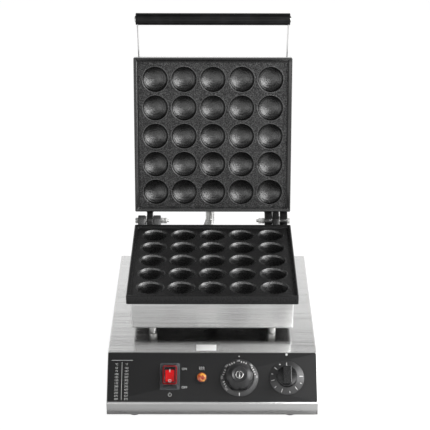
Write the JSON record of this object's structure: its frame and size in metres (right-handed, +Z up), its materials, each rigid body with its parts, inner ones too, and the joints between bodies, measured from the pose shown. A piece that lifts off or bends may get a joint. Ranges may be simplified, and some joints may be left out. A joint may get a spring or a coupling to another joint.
{
  "type": "poffertjes maker",
  "caption": "Electric poffertjes maker: two hinged dark cast plates with round hollows, a heated box and lid, and a steel base with a sloping control panel.",
  "frame": {"origin": "on the ground under the middle of the whole machine's box, with the lid open", "axes": "+X to the right as the user at the control panel sees it, +Y to the hinge at the back, +Z up"},
  "size_m": [0.331, 0.4978, 0.5322],
  "materials": {
    "brushed_sheet": "brushed stainless sheet",
    "bright_hardware": "bright turned and plated steel",
    "hose_steel": "ribbed flexible metal hose",
    "coated_casting": "dark non-stick coating on cast aluminium",
    "element_sheath": "heat-tinted tube",
    "ceramic_wool": "pressed ceramic wool",
    "sensor_copper": "drawn copper",
    "black_print": "satin black printed panel",
    "black_plastic": "moulded black plastic",
    "red_plastic": "glossy red rocker",
    "clear_rubber": "clear flexible splash cover",
    "amber_lens": "translucent amber lens",
    "foot_rubber": "moulded black rubber"
  },
  "bodies": {
    "base": {"base_housing": "brushed_sheet", "bottom_cover": "brushed_sheet", "lower_box": "brushed_sheet", "lower_element_clamp": "brushed_sheet", "post_front_left": "bright_hardware", "post_front_right": "bright_hardware", "post_back_left": "bright_hardware", "post_back_right": "bright_hardware", "post_bolt_front_left": "bright_hardware", "post_bolt_front_right": "bright_hardware", "post_bolt_back_left": "bright_hardware", "post_bolt_back_right": "bright_hardware", "wire_tube": "bright_hardware", "hinge_pin_left": "bright_hardware", "hinge_nut_first_left": "bright_hardware", "hinge_nut_second_left": "bright_hardware", "conduit_gland_box": "bright_hardware", "lamp_body": "bright_hardware", "thermostat": "bright_hardware", "timer": "bright_hardware", "conduit": "hose_steel", "lower_plate": "coated_casting", "lower_heating_element": "element_sheath", "lower_insulation": "ceramic_wool", "thermostat_bulb": "sensor_copper", "control_panel": "black_print", "switch_body": "black_plastic", "cord_gland": "black_plastic", "switch_cover": "clear_rubber", "lamp_lens": "amber_lens", "foot_front_left": "foot_rubber", "foot_front_right": "foot_rubber", "foot_back_left": "foot_rubber", "foot_back_right": "foot_rubber"},
    "lid": {"upper_plate": "coated_casting", "upper_heating_element": "element_sheath", "upper_element_clamp": "brushed_sheet", "upper_insulation": "ceramic_wool", "upper_cover": "brushed_sheet", "cover_screw_front_left": "bright_hardware", "cover_screw_front_right": "bright_hardware", "cover_screw_back_left": "bright_hardware", "cover_screw_back_right": "bright_hardware", "handle_arm_left": "brushed_sheet", "handle_arm_right": "brushed_sheet", "grip": "black_plastic", "grip_rod": "bright_hardware", "grip_screw_left": "bright_hardware", "grip_screw_right": "bright_hardware", "arm_screw_front_left": "bright_hardware", "arm_screw_front_right": "bright_hardware", "arm_screw_rear_left": "bright_hardware", "arm_screw_rear_right": "bright_hardware", "conduit_gland_lid": "bright_hardware", "hinge_pin_right": "bright_hardware", "hinge_nut_first_right": "bright_hardware", "hinge_nut_second_right": "bright_hardware"},
    "thermostat_dial": {"thermostat_knob": "black_plastic"},
    "timer_dial": {"timer_knob": "black_plastic"},
    "rocker": {"switch_rocker": "red_plastic"}
  },
  "joints": [
    {"name": "lid_hinge", "type": "hinge", "parent": "base", "child": "lid", "pos_m": [0, 0.13494, 0.17034], "axis": [1, 0, 0], "range_deg": [0, 99.8], "deforming": ["conduit"]},
    {"name": "thermostat_turn", "type": "hinge", "parent": "base", "child": "thermostat_dial", "pos_m": [0.0425, -0.21989, 0.05991], "axis": [0, 0.7071, -0.7071], "range_deg": [0, 312]},
    {"name": "timer_turn", "type": "hinge", "parent": "base", "child": "timer_dial", "pos_m": [0.1173, -0.21989, 0.05991], "axis": [0, 0.7071, -0.7071], "range_deg": [0, 280]},
    {"name": "rocker_tilt", "type": "hinge", "parent": "base", "child": "rocker", "pos_m": [-0.0665, -0.2213, 0.06401], "axis": [1, 0, 0], "range_deg": [-18, 0]}
  ]
}
